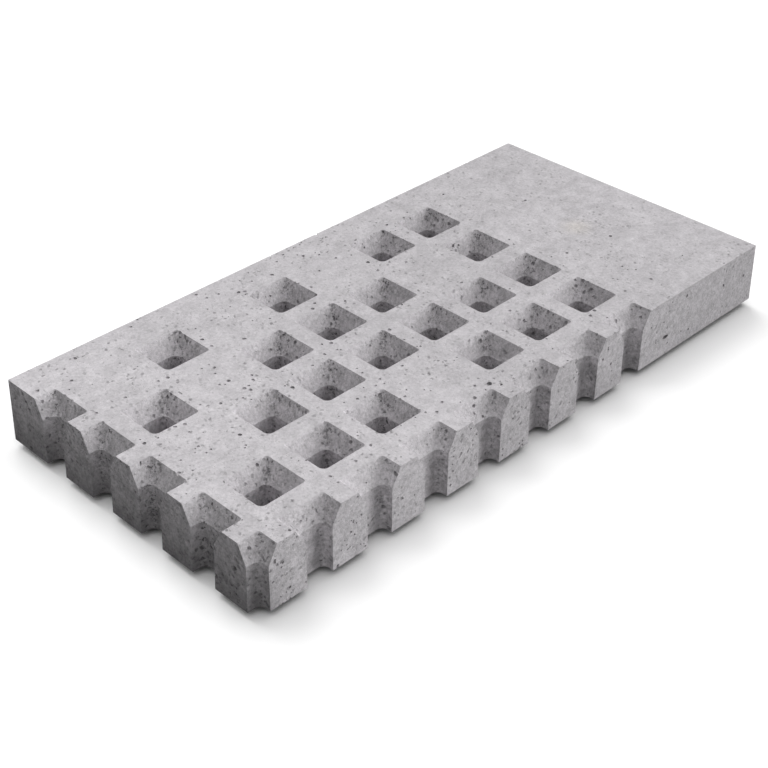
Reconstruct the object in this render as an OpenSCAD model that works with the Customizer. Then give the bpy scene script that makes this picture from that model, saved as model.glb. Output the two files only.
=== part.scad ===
// Perforated concrete edge slab for a grass or gravel joint area.
// Cast in one piece: plain along one end and one long side, pierced towards the other two,
// where half openings meet the half openings of the next slab across a joint.

/* [Slab] */
// Length that one slab takes up when laid, with its joint
laid_l = 1000; // [860:5:1400]
// Width that one slab takes up when laid, with its joint
laid_w = 500; // [460:5:800]
// Width of the joint between two slabs, at the top face
joint = 8; // [2:1:14]
// Thickness of the slab
slab_t = 95; // [60:1:140]
// How far each short end leans in on its way from the underside to the top
end_draft = 4; // [0:0.5:8]

/* [Openings] */
// Distance between the centres of neighbouring openings
pitch = 100; // [84:1:105]
// Width of an opening at the top face
mouth_w = 72; // [56:1:80]
// Radius of an opening's corners at the top face
mouth_r = 8; // [2:0.5:20]
// Depth over which an opening narrows
funnel_h = 27; // [10:1:50]
// Width of an opening where its straight shaft begins
shaft_w = 43; // [30:1:52]
// Width of an opening at the underside
foot_w = 41.4; // [24:0.2:50]
// Radius of the shaft's corners
shaft_r = 10.5; // [2:0.5:11]

/* [Hidden] */

// Openings of the field, one line a row, from the pierced long side inwards. Each line starts
// on the pierced end, so the first line and the first letters are cut by the slab's edges.
// o is an opening and . is solid concrete.
pattern = [
    "oooooooo",
    "oooo.ooo",
    "o.oooooo",
    "oo.ooo.o",
    "o.o.o.oo",
];

top_l = laid_l - joint;
slab_l = top_l + 2 * end_draft;
slab_w = laid_w - joint;
shaft_h = slab_t - funnel_h;
funnel_slope = (mouth_w - shaft_w) / 2 / funnel_h;
shaft_slope = (shaft_w - foot_w) / 2 / shaft_h;
overrun = 1;
corner_steps = 5;

// Outline of a square with round corners, as points that run anticlockwise at height z
function ring(w, r, z) = [
    for (corner = [0:3], step = [0:corner_steps])
        let (
            turn = 90 * corner,
            a = turn + 90 * step / corner_steps,
            c = (w / 2 - r) * sqrt(2)
        )
        [c * cos(turn + 45) + r * cos(a), c * sin(turn + 45) + r * sin(a), z]
];

// Quads between each ring of n points and the next one up
function bands(n, rings) = [
    for (k = [0:rings - 2], i = [0:n - 1])
        [k * n + i, (k + 1) * n + i, (k + 1) * n + (i + 1) % n, k * n + (i + 1) % n]
];

// The space of one opening: a shaft that ends in a funnel, a little longer than the slab is thick
module opening() {
    rings = [
        ring(foot_w - 2 * overrun * shaft_slope, shaft_r, -overrun),
        ring(shaft_w, shaft_r, shaft_h),
        ring(mouth_w + 2 * overrun * funnel_slope, mouth_r, slab_t + overrun),
    ];
    n = len(rings[0]);
    last = n * (len(rings) - 1);
    polyhedron(
        points = [for (points = rings, p = points) p],
        faces = concat(
            [[for (i = [0:n - 1]) i]],
            bands(n, len(rings)),
            [[for (i = [n - 1:-1:0]) last + i]]
        )
    );
}

// The slab before it is pierced: upright long sides, and ends that lean in
module blank() {
    rotate([90, 0, 0])
        linear_extrude(height = slab_w, center = true)
            polygon([
                [-slab_l / 2, 0],
                [slab_l / 2, 0],
                [top_l / 2, slab_t],
                [-top_l / 2, slab_t],
            ]);
}

module slab() {
    color("lightgray")
        difference() {
            blank();
            for (row = [0:len(pattern) - 1], column = [0:len(pattern[row]) - 1])
                if (pattern[row][column] == "o")
                    translate([column * pitch - laid_l / 2, row * pitch - laid_w / 2, 0])
                        opening();
        }
}

slab();
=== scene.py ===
import itertools
import math
import random
import time
import bmesh
import bpy
from mathutils import Matrix, Vector, noise
from mathutils.bvhtree import BVHTree


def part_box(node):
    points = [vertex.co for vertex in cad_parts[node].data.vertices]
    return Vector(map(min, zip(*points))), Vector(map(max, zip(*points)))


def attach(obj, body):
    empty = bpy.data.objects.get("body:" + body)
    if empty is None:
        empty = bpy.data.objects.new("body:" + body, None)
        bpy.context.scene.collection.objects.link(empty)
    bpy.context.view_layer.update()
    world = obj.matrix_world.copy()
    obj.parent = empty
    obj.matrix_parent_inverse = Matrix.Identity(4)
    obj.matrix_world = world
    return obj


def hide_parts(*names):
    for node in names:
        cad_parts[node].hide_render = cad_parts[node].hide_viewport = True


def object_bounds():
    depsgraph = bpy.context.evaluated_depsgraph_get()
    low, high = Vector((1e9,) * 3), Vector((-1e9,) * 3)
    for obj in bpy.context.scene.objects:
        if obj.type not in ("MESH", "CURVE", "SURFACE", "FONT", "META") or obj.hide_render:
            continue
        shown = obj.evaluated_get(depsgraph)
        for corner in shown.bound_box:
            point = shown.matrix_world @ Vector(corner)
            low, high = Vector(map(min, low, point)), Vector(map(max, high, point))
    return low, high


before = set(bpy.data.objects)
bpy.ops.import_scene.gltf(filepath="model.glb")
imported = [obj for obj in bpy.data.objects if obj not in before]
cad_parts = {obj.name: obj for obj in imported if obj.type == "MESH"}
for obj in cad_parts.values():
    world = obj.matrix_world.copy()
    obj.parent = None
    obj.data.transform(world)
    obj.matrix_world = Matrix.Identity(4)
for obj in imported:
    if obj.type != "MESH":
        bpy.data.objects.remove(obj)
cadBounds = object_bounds()
startTime = time.time()


def report(stage):
    print(f"{stage}: {time.time() - startTime:.1f} s")


def linkPiece(name, bm):
    mesh = bpy.data.meshes.new(name)
    bm.to_mesh(mesh)
    bm.free()
    piece = bpy.data.objects.new(name, mesh)
    bpy.context.scene.collection.objects.link(piece)
    return piece


def cutAway(piece, cutter):
    boolean = piece.modifiers.new("cut", "BOOLEAN")
    boolean.operation = "DIFFERENCE"
    boolean.solver = "MANIFOLD"
    boolean.object = cutter
    graph = bpy.context.evaluated_depsgraph_get()
    shaped = piece.evaluated_get(graph)
    cutMesh = bpy.data.meshes.new_from_object(shaped, preserve_all_data_layers=True, depsgraph=graph)
    piece.modifiers.remove(boolean)
    uncutMesh = piece.data
    piece.data = cutMesh
    bpy.data.meshes.remove(uncutMesh)
    bpy.data.objects.remove(cutter)


# The slab is one cast block, pierced by openings that narrow like a funnel to a square shaft

slabShape = {
    "endDraft": 0.004,  # how far each short end leans in towards the top
    "joint": 0.008,  # the grid of openings starts half a joint outside the top face
    "pitch": 0.1,
    "mouthWidth": 0.072,
    # Corner radii of a mouth, anticlockwise from the corner that lies towards +X and +Y
    "mouthRadii": (0.0045, 0.002, 0.0085, 0.004),
    "throatRise": 0.007,  # over this height above the shaft its corners tighten
    "throatRadii": (0.006, 0.004, 0.0095, 0.006),
    "funnelDepth": 0.027,
    "shaftWidth": 0.043,
    "footWidth": 0.0414,
    "shaftRadii": (0.0105, 0.0105, 0.0105, 0.0105),
    "cornerSteps": 7,
    "overrun": 0.002,  # how far a cutter reaches past the slab
    "arris": 0.0003,  # the small round on every outside edge
    "arrisSteps": 1,
    "arrisAngle": 40.0,  # an edge that turns by more degrees than this is rounded
    "weld": 0.000001,
    "seamGap": 0.031,
    "creaseAngle": 20.0,  # an edge that turns by more degrees than this isn't shaded smooth
    "plainFace": 0.0003,  # a face over this many square metres is flat, and is shaded so
    "level": 0.9,  # a face whose normal's Z is past this is level
    "sideDepth": 0.001,  # a wall this near the slab's outline is one of its sides
    "nook": 0.3,  # the back corner of an opening, in pitches from its middle
    "nookReach": (0.06, 0.34),  # the concrete is poorest there, and sound from the far distance
    # Rows of openings from the pierced long side inwards, each from the pierced end: o is open
    "rows": ["oooooooo", "oooo.ooo", "o.oooooo", "oo.ooo.o", "o.o.o.oo"],
}


def makeBlank():
    low, high = (Vector(corner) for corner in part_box("slab"))
    bm = bmesh.new()
    bmesh.ops.create_cube(bm, size=1.0)
    bmesh.ops.scale(bm, vec=high - low, verts=bm.verts)
    bmesh.ops.translate(bm, vec=(low + high) / 2, verts=bm.verts)
    for v in bm.verts:
        if v.co.z > (low.z + high.z) / 2:
            v.co.x -= math.copysign(slabShape["endDraft"], v.co.x)
    return linkPiece("concreteSlab", bm)


def addRing(bm, width, radii, height):
    steps = slabShape["cornerSteps"]
    ring = []
    for corner, radius in enumerate(radii):
        turn = Matrix.Rotation(math.radians(90 * corner), 3, "Z")
        middle = Vector((width / 2 - radius, width / 2 - radius, height))
        for step in range(steps + 1):
            angle = math.radians(90 * step / steps)
            reach = Vector((math.cos(angle), math.sin(angle), 0)) * radius
            ring.append(bm.verts.new(turn @ (middle + reach)))
    return ring


def makeOpening():
    s = slabShape
    thickness = cadBounds[1][2] - cadBounds[0][2]
    knee = thickness - s["funnelDepth"]
    flare = (s["mouthWidth"] - s["shaftWidth"]) / s["funnelDepth"]
    taper = (s["shaftWidth"] - s["footWidth"]) / knee
    bm = bmesh.new()
    foot = addRing(bm, s["footWidth"] - taper * s["overrun"], s["shaftRadii"], -s["overrun"])
    middle = addRing(bm, s["shaftWidth"], s["shaftRadii"], knee)
    throatWidth = s["shaftWidth"] + flare * s["throatRise"]
    throat = addRing(bm, throatWidth, s["throatRadii"], knee + s["throatRise"])
    mouthWidth = s["mouthWidth"] + flare * s["overrun"]
    mouth = addRing(bm, mouthWidth, s["mouthRadii"], thickness + s["overrun"])
    bm.faces.new(reversed(foot))
    bm.faces.new(mouth)
    for lower, upper in ((foot, middle), (middle, throat), (throat, mouth)):
        for i, v in enumerate(lower):
            bm.faces.new((lower[i - 1], v, upper[i], upper[i - 1]))
    shape = bpy.data.meshes.new("opening")
    bm.to_mesh(shape)
    bm.free()
    return shape


def firstOpening():
    low, outside = cadBounds[0], slabShape["joint"] / 2
    return Vector((low[0] + slabShape["endDraft"] - outside, low[1] - outside, low[2]))


def openingPlaces():
    for row, line in enumerate(slabShape["rows"]):
        for column, cell in enumerate(line):
            if cell == "o":
                yield firstOpening() + Vector((column, row, 0)) * slabShape["pitch"]


def addCopy(bm, shape, place, dark=0.0):
    copy = shape.copy()
    copy.transform(place)
    # The cutter's faces carry the painted shade of its hollow, none for the openings
    mark = copy.attributes.new("hollow", "FLOAT", "FACE")
    mark.data.foreach_set("value", [dark] * len(copy.polygons))
    bm.from_mesh(copy)
    bpy.data.meshes.remove(copy)


def pierce(slab):
    shape = makeOpening()
    bm = bmesh.new()
    for place in openingPlaces():
        addCopy(bm, shape, Matrix.Translation(place))
    cutAway(slab, linkPiece("openings", bm))


def roundArrises(slab):
    s = slabShape
    bm = bmesh.new()
    bm.from_mesh(slab.data)
    bmesh.ops.remove_doubles(bm, verts=bm.verts, dist=s["weld"])
    sharp = [e for e in bm.edges if e.calc_face_angle() > math.radians(s["arrisAngle"])]
    bmesh.ops.bevel(bm, geom=sharp, affect="EDGES", offset=s["arris"], offset_type="OFFSET",
                    segments=s["arrisSteps"], profile=0.5, material=-1, clamp_overlap=True)
    plain = bm.faces.layers.float.new("plain")
    for f in bm.faces:
        f[plain] = f.calc_area() > s["plainFace"]
    # Seams keep every face small, so that no face is pierced by many hollows
    for axis in range(3):
        low, high = cadBounds[0][axis], cadBounds[1][axis]
        count = max(round((high - low) / s["seamGap"]), 1)
        for number in range(1, count):
            seam = Vector((0, 0, 0))
            seam[axis] = low + (high - low) * number / count
            across = Vector((0, 0, 0))
            across[axis] = 1
            geometry = bm.verts[:] + bm.edges[:] + bm.faces[:]
            bmesh.ops.bisect_plane(bm, geom=geometry, dist=s["weld"], plane_co=seam, plane_no=across)
    bm.to_mesh(slab.data)
    bm.free()


# The skin is broken by air pores and, in patches on the walls, by shallow ragged pits

slabHollows = {
    "pores": {
        "seeds": {"shapes": 8, "largest": 9, "lines": 10},
        # The few largest, listed one by one: place, the way the skin faces there, radius and length
        "largest": [
            ((0.281, -0.246, 0.031), (0, -1, 0), 0.0048, 0.44),
            ((-0.058, -0.205, 0.095), (0, 0, 1), 0.0042, 1.1),
            ((0.05, 0.13, 0.095), (0, 0, 1), 0.003, 1.1),
            ((-0.14, 0.2, 0.095), (0, 0, 1), 0.003, 1.1),
            ((-0.455, 0.01, 0.095), (0, 0, 1), 0.003, 1.1),
            ((-0.245, -0.03, 0.095), (0, 0, 1), 0.003, 1.1),
            ((0.18, -0.19, 0.095), (0, 0, 1), 0.003, 1.1),
            ((-0.36, -0.06, 0.095), (0, 0, 1), 0.0028, 1.1),
        ],
        "perSquareMetre": 2200.0,  # where they are densest
        "radius": (0.00135, 0.0030),
        "slope": 2.5,  # how fast they grow rarer with size
        "length": (1.0, 1.3),  # as a multiple of the width
        "depth": (0.4, 1.0),  # as a multiple of the radius
        "sink": 0.2,  # how far the middle lies under the skin, in radii
        "lumps": 0.4,
        "steps": [(0.0014, 1), (1.0, 2)],  # under this radius, this many subdivisions
        "shares": {"top": 1.0, "side": 0.7, "funnel": 0.8, "shaft": 0.5, "underside": 0.08},
        "elsewhere": 1.0,  # the share on walls that don't face the pierced end
        "nookMore": 0.0,
        "patchScale": 9.0,
        "patch": (-0.75, 0.75),  # the noise over which patches go from none to densest
        # Painted shade: how much a pore's faces are darkened, as the inside of a deep hole would be
        "dark": (0.0, 0.5),
    },
    "pits": {
        "seeds": {"shapes": 999998, "largest": 999999, "lines": 1000000},
        "largest": [],
        "perSquareMetre": 30000.0,
        "radius": (0.0010, 0.0030),
        "slope": 2.3,
        "length": (1.0, 1.7),
        "depth": (0.4, 0.7),
        "sink": 0.0,
        "lumps": 0.7,
        "steps": [(0.0012, 1), (1.0, 2)],
        "shares": {"top": 0.0, "side": 0.35, "funnel": 1.0, "shaft": 0.6, "underside": 0.0},
        "elsewhere": 0.2,
        "nookMore": 0.45,  # how much the back corners add to the noise that makes the patches
        "patchScale": 11.0,
        "patch": (0.0, 0.5),
        # Painted shade: how much a pit's faces are darkened, as the inside of a hole would be
        "dark": (0.5, 1.0),
    },
    "gap": 0.0004,  # the least skin left between two hollows
    "step": 0.00001,  # how far past one crossing a line looks for the next
    "shapes": 8,
    "facesEnd": 0.5,  # a wall whose normal's -X is past this faces the pierced end
    "thinFrom": -0.12,  # along X, where the top's pores start to thin out
    "thinTo": 0.42,
    "thinnest": 0.05,  # the share of pores that is left there
    "soundTo": -0.2,  # along Y, up to where the walls of the outer row are sounder
    "sound": 0.45,
}


def makeHollowShapes(look, dice, subdivisions):
    shapes = []
    for number in range(slabHollows["shapes"]):
        bm = bmesh.new()
        bmesh.ops.create_icosphere(bm, subdivisions=subdivisions, radius=1.0)
        drift = Vector((dice.uniform(0, 50), dice.uniform(0, 50), dice.uniform(0, 50)))
        for v in bm.verts:
            v.co *= 1 + look["lumps"] * noise.noise(v.co + drift)
        shape = bpy.data.meshes.new("hollowShape")
        bm.to_mesh(shape)
        bm.free()
        shapes.append(shape)
    return shapes


def smoothStep(value, start, end):
    t = min(max((value - start) / (end - start), 0), 1)
    return t * t * (3 - 2 * t)


def regionOf(point, normal):
    s = slabShape
    low, high = (Vector(corner) for corner in cadBounds)
    if abs(normal.z) > s["level"]:
        return "top" if normal.z > 0 else "underside"
    endX = high.x - s["endDraft"] * (point.z - low.z) / (high.z - low.z)
    if abs(point.x) > endX - s["sideDepth"] or abs(point.y) > high.y - s["sideDepth"]:
        return "side"
    return "funnel" if point.z > high.z - s["funnelDepth"] else "shaft"


def nookNearness(point):
    s = slabShape
    cell = (point - firstOpening()) / s["pitch"]
    distance = math.hypot(cell.x % 1 - s["nook"], cell.y % 1 - s["nook"])
    return 1 - smoothStep(distance, *s["nookReach"])


def hollowShare(look, point, normal):
    region = regionOf(point, normal)
    patch = noise.noise(point * look["patchScale"]) + look["nookMore"] * nookNearness(point)
    share = look["shares"][region] * smoothStep(patch, *look["patch"])
    if region != "top" and -normal.x < slabHollows["facesEnd"]:
        share *= look["elsewhere"]
    if region in ("funnel", "shaft") and point.y < slabHollows["soundTo"]:
        share *= slabHollows["sound"]
    if region == "top":
        thin = smoothStep(point.x, slabHollows["thinFrom"], slabHollows["thinTo"])
        share *= 1 + (slabHollows["thinnest"] - 1) * thin
    return share


def skinCrossings(piece, look):
    # Random straight lines cross the skin of any shape evenly. Each line has dice of its own, so that
    # the hollows don't hang on the order of the mesh's faces, which a boolean leaves to chance
    tree = BVHTree.FromObject(piece, bpy.context.evaluated_depsgraph_get())
    low, high = (Vector(corner) for corner in cadBounds)
    middle, reach = (low + high) / 2, (high - low).length / 2
    for number in range(int(look["perSquareMetre"] * math.tau * reach ** 2)):
        dice = random.Random(look["seeds"]["lines"] + number)
        rise, turn = dice.uniform(-1, 1), dice.uniform(0, math.tau)
        flat = math.sqrt(1 - rise ** 2)
        along = Vector((flat * math.cos(turn), flat * math.sin(turn), rise))
        aside, turn = reach * math.sqrt(dice.random()), dice.uniform(0, math.tau)
        across = along.to_track_quat("Z", "Y") @ Vector((math.cos(turn), math.sin(turn), 0))
        start = middle + across * aside - along * reach
        point, normal = tree.ray_cast(start, along)[:2]
        while point:
            yield point, normal, dice
            point, normal = tree.ray_cast(point + along * slabHollows["step"], along)[:2]


def drawHollow(look, dice):
    smallest, largest = look["radius"]
    return {
        "radius": min(smallest * (1 - dice.random()) ** (-1 / look["slope"]), largest),
        "length": dice.uniform(*look["length"]),
        "swing": dice.uniform(0, math.tau),
        "depth": dice.uniform(*look["depth"]),
        "dark": dice.uniform(*look["dark"]),
        "shape": dice.randrange(slabHollows["shapes"]),
    }


def reachOf(look, hollow):
    length = hollow["length"]
    return hollow["radius"] * math.sqrt(max(length, 1 / length)) * (1 + look["lumps"] / 2)


def largestHollows(look):
    dice = random.Random(look["seeds"]["largest"])
    for place, normal, radius, length in look["largest"]:
        known = {"radius": radius, "length": length, "swing": 0.0, "dark": 1.0}
        yield Vector(place), Vector(normal), drawHollow(look, dice) | known


def hollowPlaces(look, piece):
    # The room is split into cells wide enough that only the neighbours can hold a hollow in the way
    largest = list(largestHollows(look))
    widest = {"radius": look["radius"][1], "length": look["length"][1]}
    sizes = [widest] + [hollow for point, normal, hollow in largest]
    cell = 2 * max(reachOf(look, hollow) for hollow in sizes) + slabHollows["gap"]
    taken = {}

    def take(point, hollow):
        key = tuple(math.floor(value / cell) for value in point)
        taken.setdefault(key, []).append((point, reachOf(look, hollow)))

    def isFree(point, hollow):
        x, y, z = (math.floor(value / cell) for value in point)
        nearby = itertools.product((x - 1, x, x + 1), (y - 1, y, y + 1), (z - 1, z, z + 1))
        others = itertools.chain.from_iterable(taken.get(key, ()) for key in nearby)
        reach = reachOf(look, hollow) + slabHollows["gap"]
        return all((other - point).length >= reach + otherReach for other, otherReach in others)

    for point, normal, hollow in largest:
        take(point, hollow)
        yield point, normal, hollow
    for point, normal, dice in skinCrossings(piece, look):
        hollow = drawHollow(look, dice)
        if dice.random() <= hollowShare(look, point, normal) and isFree(point, hollow):
            take(point, hollow)
            yield point, normal, hollow


def cutHollows(slab, name):
    look = slabHollows[name]
    dice = random.Random(look["seeds"]["shapes"])
    kinds = [(upTo, makeHollowShapes(look, dice, subdivisions)) for upTo, subdivisions in look["steps"]]
    bm = bmesh.new()
    count = 0
    for point, normal, hollow in hollowPlaces(look, slab):
        radius = hollow["radius"]
        shapes = next(shapes for upTo, shapes in kinds if radius < upTo)
        long = math.sqrt(hollow["length"])
        turn = normal.to_track_quat("Z", "Y").to_matrix().to_4x4()
        turn = turn @ Matrix.Rotation(hollow["swing"], 4, "Z")
        size = Matrix.Diagonal((radius / long, radius * long, radius * hollow["depth"], 1))
        middle = Matrix.Translation(point - normal * radius * look["sink"])
        addCopy(bm, shapes[hollow["shape"]], middle @ turn @ size, hollow["dark"])
        count += 1
    cutters = linkPiece(name, bm)
    cutters.data.shade_smooth()
    cutAway(slab, cutters)
    report(f"{count} {name} cut")


# Shader maths: a wire is one socket, and sums on wires add nodes

class Wire:
    def __init__(self, tree, socket=None):
        self.tree = tree
        self.socket = socket

    def node(self, kind, settings=None, sockets=None, output=0):
        # A socket is given by its number, or by its name among those that the settings leave in use
        made = self.tree.nodes.new("ShaderNode" + kind)
        for name, value in (settings or {}).items():
            setattr(made, name, value)

        def find(row, key):
            if isinstance(key, int):
                return row[key]
            return next(socket for socket in row if socket.enabled and socket.name == key)

        for key, value in (sockets or {}).items():
            if isinstance(value, Wire):
                self.tree.links.new(value.socket, find(made.inputs, key))
            else:
                find(made.inputs, key).default_value = value
        return Wire(self.tree, find(made.outputs, output))

    def maths(self, operation, *values):
        return self.node("Math", {"operation": operation}, dict(enumerate(values)))

    def vectors(self, operation, sockets, output="Vector"):
        return self.node("VectorMath", {"operation": operation}, sockets, output)

    def __add__(self, other):
        return self.maths("ADD", self, other)

    __radd__ = __add__

    def __sub__(self, other):
        return self.maths("SUBTRACT", self, other)

    def __rsub__(self, other):
        return self.maths("SUBTRACT", other, self)

    def __mul__(self, other):
        return self.maths("MULTIPLY", self, other)

    __rmul__ = __mul__

    def rise(self, start, end):
        # 0 before start, 1 past end and smooth between
        limits = {"Value": self, "From Min": start, "From Max": end}
        return self.node("MapRange", {"interpolation_type": "SMOOTHSTEP"}, limits)

    def grain(self, scale, detail, roughness=0.5, shift=(0, 0, 0)):
        # Cloudy noise about zero over this wire's coordinates
        place = self.node("Mapping", None, {"Vector": self, "Location": shift})
        sockets = {"Vector": place, "Scale": scale, "Detail": detail, "Roughness": roughness}
        return self.node("TexNoise", None, sockets) - 0.5

    def plug(self, socket):
        self.tree.links.new(self.socket, socket)


# Each pair of lengths or noises below is where something starts and where it is complete

concreteFinish = {
    "colour": (0.604, 0.583, 0.604),  # a light grey with a trace of violet
    "warm": (0.635, 0.603, 0.590),  # one faint stain on the top face
    "stainPlace": (0.35, -0.02, 0.095),
    "stainReach": 0.035,
    "roughness": 0.9,
    "sandRoughness": 0.05,
    "gloss": 0.25,
    "wallTop": (0.0015, 0.0005),  # below the top face, where a wall ends
    "rimDepth": 0.012,  # the uppermost stretch of a wall
    "facing": (0.3, 0.9),  # a wall that faces the pierced end is coarse: its normal's -X
    "soundEdge": 0.03,  # over this width the walls of the outer row lose their soundness

    # Noise of three sizes, stronger on walls, and more so on coarse ones and deep in the shafts
    "cloudScale": 7.0,
    "cloudDepth": 0.3,
    "mottleScale": 45.0,
    "mottleDepth": 0.72,
    "mottleMore": {"wall": -0.15, "coarse": 1.0, "deep": 0.6},
    "sandScale": 230.0,
    "sandDepth": 0.55,
    "sandMore": {"wall": 0.9, "coarse": 0.4, "deep": 0.1},

    # Round dots: fine specks everywhere, and spots in patches
    "speckScale": 420.0,
    "speckShare": 0.25,
    "speckEdge": (0.1, 0.35),
    "speckDark": 0.3,
    "spotScale": 135.0,
    "spotShare": 0.55,
    "spotEdge": (0.14, 0.49),
    "spotPatch": (-0.2, 0.12),
    "spotDrift": 1.6,  # bends the spots out of round, in their own widths
    "spotDark": 0.57,
    "spotFar": 0.35,  # how much fainter the spots are at the plain end
    "spotFade": (0.0, 0.4),
    "patchScale": 14.0,

    # Blots gather in the nooks, in the shafts and on coarse walls, most of all near their rim
    "blotScale": 200.0,
    "blotEdge": (0.06, 0.16),
    "blotDark": 0.6,
    "blotPatchScale": 11.0,
    "blotPatch": (-0.1, 0.14),
    "blotPatchNook": 0.2,
    "blotShares": {"wall": 0.1, "coarse": 0.42, "nook": 0.6, "deep": 0.4, "rim": 0.6},
    "blotSound": 0.5,  # how much fainter they are where the walls are sounder

    # Ragged dark marks lie along the line where two walls meet in a nook
    "nookLineScale": 110.0,
    "nookLineEdge": (0.0, 0.12),
    "nookLineReach": (0.02, 0.12),  # from that line, in pitches
    "nookLineDark": 0.5,
    "nookLineSound": 0.7,

    # Painted shade in the pores and pits, scaled by how much each hollow carries
    "hollowPaintedShade": 0.45,
    "footPaintedShade": 0.06,  # painted shade: the walls darken towards the ground
    "footFrom": -0.03,  # the height at which they would be darkest
    "deepPaintedShade": 0.05,  # and more painted shade in the shafts
    "endPaintedShade": 0.62,  # and more painted shade at the foot of the pierced end
    "endReach": 0.06,
    "farPaintedShade": 0.09,  # painted shade: away from the pierced end the slab is a little darker
    "farFade": (-0.4, 0.1),
    "plainDark": 0.06,  # and the plain stretch of its walls a little more
    "plainFade": (0.22, 0.42),

    "bumpDepth": 0.0005,
    "sandBump": 0.7,
    "mottleBump": 0.4,
}


def specks(place, scale, share, edge):
    # Round dots, one in some of the cells, and not all equally strong
    cells = {"Vector": place, "Scale": scale}
    distance = place.node("TexVoronoi", None, cells, "Distance")
    colour = place.node("TexVoronoi", None, cells, "Color")
    draw = place.node("SeparateColor", None, {"Color": colour}, "Red")
    return (1 - distance.rise(*edge)) * draw.rise(1 - share, 1.0)


def inOpening(place):
    # Place within a square of the grid, in pitches from the middle of its opening
    cell = place.vectors("SUBTRACT", {0: place, 1: firstOpening()})
    cell = place.vectors("SCALE", {0: cell, "Scale": 1 / slabShape["pitch"]})
    cell = place.vectors("FRACTION", {0: cell})
    return place.vectors("MULTIPLY", {0: cell, 1: (1, 1, 0)})


def makeTone(place):
    # How bright the concrete is, where 1 is its plain colour, and how much it stands out
    c = concreteFinish
    low, high = cadBounds
    along, across, height = (place.node("SeparateXYZ", None, {"Vector": place}, axis) for axis in "XYZ")
    hollow, coarse, deep = (place.node("Attribute", {"attribute_name": name}, None, "Fac")
                            for name in ("hollow", "coarse", "deep"))
    wall = 1 - height.rise(*(high[2] - depth for depth in c["wallTop"]))
    rim = height.rise(high[2] - c["rimDepth"], high[2]) * coarse
    sound = 1 - across.rise(slabHollows["soundTo"], slabHollows["soundTo"] + c["soundEdge"])
    cell = inOpening(place)
    nookAt = {0: cell, 1: (slabShape["nook"], slabShape["nook"], 0)}
    nook = 1 - place.vectors("DISTANCE", nookAt, "Value").rise(*slabShape["nookReach"])

    cloud = place.grain(c["cloudScale"], 3.0, 0.7)
    mottle = place.grain(c["mottleScale"], 3.0, 0.8, shift=(3, 1, 4))
    more = c["mottleMore"]
    mottle = mottle * (1 + wall * (more["wall"] + coarse * more["coarse"] + deep * more["deep"]))
    sand = place.grain(c["sandScale"], 2.0, 0.8, shift=(1, 5, 9))
    more = c["sandMore"]
    sand = sand * (1 + wall * (more["wall"] + coarse * more["coarse"] + deep * more["deep"]))
    tone = 1 + cloud * c["cloudDepth"] + mottle * c["mottleDepth"] + sand * c["sandDepth"]

    speck = specks(place, c["speckScale"], c["speckShare"], c["speckEdge"])
    drift = place.grain(c["spotScale"], 1.0, shift=(8, 2, 6)) * (c["spotDrift"] / c["spotScale"])
    moved = place.vectors("ADD", {0: place, 1: drift})
    spot = specks(moved, c["spotScale"], c["spotShare"], c["spotEdge"])
    spot = spot * place.grain(c["patchScale"], 2.0, shift=(4, 4, 2)).rise(*c["spotPatch"])
    spot = spot * (1 - along.rise(*c["spotFade"]) * c["spotFar"])

    patch = place.grain(c["blotPatchScale"], 1.0, shift=(2, 7, 1)) + nook * c["blotPatchNook"]
    blot = place.grain(c["blotScale"], 2.0, 0.7, shift=(5, 3, 5)).rise(*c["blotEdge"])
    blot = blot * patch.rise(*c["blotPatch"])
    share = c["blotShares"]
    blotted = coarse * share["coarse"] + nook * share["nook"] + deep * share["deep"]
    blotted = wall * (blotted + rim * share["rim"] + share["wall"]) * (1 - sound * c["blotSound"])

    askew = place.vectors("DOT_PRODUCT", {0: cell, 1: (1, -1, 0)}, "Value")
    corner = 1 - place.maths("ABSOLUTE", askew).rise(*c["nookLineReach"])
    nookLine = place.grain(c["nookLineScale"], 3.0, 0.8, shift=(6, 1, 8)).rise(*c["nookLineEdge"])
    nookLine = nookLine * corner * nook * wall * (1 - sound * c["nookLineSound"])

    foot = 1 - height.rise(c["footFrom"], high[2])
    end = 1 - along.rise(low[0], low[0] + c["endReach"])
    for shade in (spot * c["spotDark"],
                  blot * blotted * c["blotDark"],
                  nookLine * c["nookLineDark"],
                  speck * c["speckDark"],
                  # painted shade in the hollows
                  hollow * c["hollowPaintedShade"],
                  # painted shade towards the ground, more in the shafts and most at the foot of the
                  # pierced end
                  foot * (c["footPaintedShade"] + deep * c["deepPaintedShade"]),
                  foot * end * c["endPaintedShade"],
                  # painted shade, darker away from the pierced end
                  along.rise(*c["farFade"]) * c["farPaintedShade"],
                  along.rise(*c["plainFade"]) * wall * c["plainDark"]):
        tone = tone * (1 - shade)
    relief = sand * c["sandBump"] + mottle * c["mottleBump"] - speck - spot
    return tone, relief, c["roughness"] + sand * c["sandRoughness"]


def makeConcrete():
    c = concreteFinish
    material = bpy.data.materials.new("concrete")
    material.use_nodes = True
    tree = material.node_tree
    shader = tree.nodes["Principled BSDF"]
    shader.inputs["Specular IOR Level"].default_value = c["gloss"]
    wire = Wire(tree)
    place = wire.node("TexCoord", output="Object")
    tone, relief, roughness = makeTone(place)
    away = wire.vectors("DISTANCE", {0: place, 1: c["stainPlace"]}, "Value")
    stain = 1 - away.rise(0.0, c["stainReach"])
    colours = {"Factor": stain, "A": (*c["colour"], 1), "B": (*c["warm"], 1)}
    tint = wire.node("Mix", {"data_type": "RGBA"}, colours, "Result")
    wire.vectors("SCALE", {0: tint, "Scale": tone}).plug(shader.inputs["Base Color"])
    roughness.plug(shader.inputs["Roughness"])
    bump = wire.node("Bump", None, {"Height": relief, "Distance": c["bumpDepth"], "Strength": 1.0})
    bump.plug(shader.inputs["Normal"])
    return material


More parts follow.
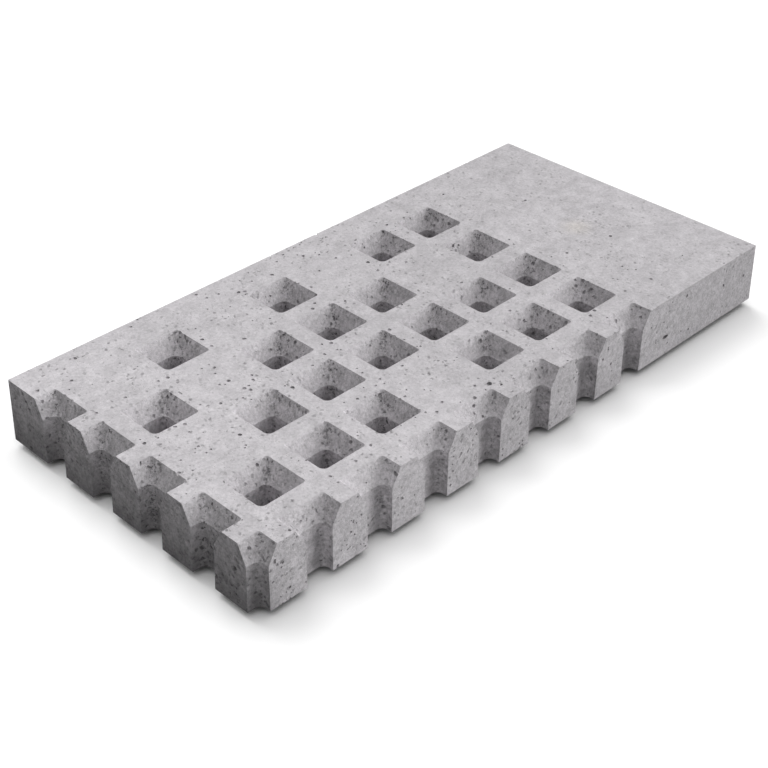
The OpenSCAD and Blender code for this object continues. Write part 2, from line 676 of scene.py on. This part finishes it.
def finishSlab(slab):
    # Flat faces stay flat, and no shading runs over an arris, a knee or the rim of a hollow
    bm = bmesh.new()
    bm.from_mesh(slab.data)
    plain = bm.faces.layers.float["plain"]
    hollow = bm.faces.layers.float["hollow"]
    coarse = bm.faces.layers.float.new("coarse")  # how squarely a wall faces the pierced end
    deep = bm.faces.layers.float.new("deep")  # 1 in the shafts
    for f in bm.faces:
        f.smooth = not f[plain]
        f.material_index = 0
        f[coarse] = smoothStep(-f.normal.x, *concreteFinish["facing"])
        f[deep] = regionOf(f.calc_center_median(), f.normal) == "shaft"
    for e in bm.edges:
        rim = len({f[hollow] > 0 for f in e.link_faces}) > 1
        e.smooth = not rim and e.calc_face_angle(0) < math.radians(slabShape["creaseAngle"])
    bm.to_mesh(slab.data)
    bm.free()
    slab.data.materials.clear()
    slab.data.materials.append(makeConcrete())
    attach(slab, "root")
    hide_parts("slab")


slab = makeBlank()
pierce(slab)
report("openings cut")
roundArrises(slab)
report("arrises rounded")
cutHollows(slab, "pits")
cutHollows(slab, "pores")
finishSlab(slab)
report("concrete finished")


# A plain pale floor under soft studio light

studio = {
    "cameraPlace": (-1.3025, -1.2546, 1.2233),
    "cameraAim": (-0.1072, -0.0604, 0.0475),
    "lens": 71.1,
    "sensor": 36.0,
    # Each lamp on the slab: azimuth from +Y towards +X, height and softness in degrees, and strength,
    # where 1 shows a facing wall in its own colour
    "slabLamps": {
        "key": (122, 5, 30, 0.585),
        "lift": (135, 30, 30, 0.32),
        "top": (90, 70, 70, 0.47),
        "over": (0, 78, 50, 0.15),
        "fill": (225, 12, 60, 0.162),
        "back": (10, 30, 60, 0.12),
    },
    "floorLamps": {
        "sky": (0, 90, 125, 0.37),
        "high": (0, 90, 90, 0.51),
        "slant": (10, 55, 40, 0.36),
    },
    "room": 0.02,
    "floorReach": 6.0,
    "floorDrop": 0.0115,  # a thin dark gap shows under the slab
    "floorTrue": 0.155,  # what the floor throws back on the slab
    "floorSeen": 0.97,  # how bright it looks itself
}


def makeCamera():
    data = bpy.data.cameras.new("camera")
    data.lens = studio["lens"]
    data.sensor_width = studio["sensor"]
    camera = bpy.data.objects.new("camera", data)
    place, aim = Vector(studio["cameraPlace"]), Vector(studio["cameraAim"])
    camera.location = place
    camera.rotation_euler = (aim - place).to_track_quat("-Z", "Y").to_euler()
    bpy.context.scene.collection.objects.link(camera)
    bpy.context.scene.camera = camera


def makeLamps(lamps, piece):
    # These lamps light this piece alone, and whatever stands in their way throws its shadow on it
    lit = bpy.data.collections.new(piece.name + "Lit")
    lit.objects.link(piece)
    for name, (azimuth, height, softness, strength) in lamps.items():
        data = bpy.data.lights.new(name + "Lamp", "SUN")
        data.energy = strength * math.pi
        data.angle = math.radians(softness)
        lamp = bpy.data.objects.new(name + "Lamp", data)
        around = Matrix.Rotation(math.radians(-azimuth), 3, "Z")
        tilt = Matrix.Rotation(math.radians(height - 90), 3, "X")
        lamp.rotation_euler = (around @ tilt).to_euler()
        lamp.light_linking.receiver_collection = lit
        bpy.context.scene.collection.objects.link(lamp)


def plainRay(wire):
    # 1 for rays that show the background: seen straight, in a gloss or through glass
    ray = wire.node("LightPath", output="Is Camera Ray")
    for name in ("Is Glossy Ray", "Is Transmission Ray"):
        ray = ray.maths("MAXIMUM", ray, wire.node("LightPath", output=name))
    return ray


def makeRoom():
    world = bpy.data.worlds.new("room")
    world.use_nodes = True
    bpy.context.scene.world = world
    background = world.node_tree.nodes["Background"]
    background.inputs["Color"].default_value = (1, 1, 1, 1)
    plain = plainRay(Wire(world.node_tree))
    (studio["room"] + plain * (1 - studio["room"])).plug(background.inputs["Strength"])


def makeFloor():
    bm = bmesh.new()
    place = Matrix.Translation((0, 0, cadBounds[0][2] - studio["floorDrop"]))
    bmesh.ops.create_grid(bm, x_segments=1, y_segments=1, size=studio["floorReach"], matrix=place)
    floor = linkPiece("floor", bm)
    material = bpy.data.materials.new("floorPaint")
    material.use_nodes = True
    tree = material.node_tree
    shader = tree.nodes["Principled BSDF"]
    shader.inputs["Roughness"].default_value = 1.0
    shader.inputs["Specular IOR Level"].default_value = 0.0
    wire = Wire(tree)
    plain = plainRay(wire)
    seen = studio["floorTrue"] + plain * (studio["floorSeen"] - studio["floorTrue"])
    wire.node("CombineXYZ", None, {"X": seen, "Y": seen, "Z": seen}).plug(shader.inputs["Base Color"])
    floor.data.materials.append(material)
    return floor


makeCamera()
makeRoom()
makeLamps(studio["slabLamps"], slab)
makeLamps(studio["floorLamps"], makeFloor())
bpy.context.scene.view_settings.view_transform = "Standard"
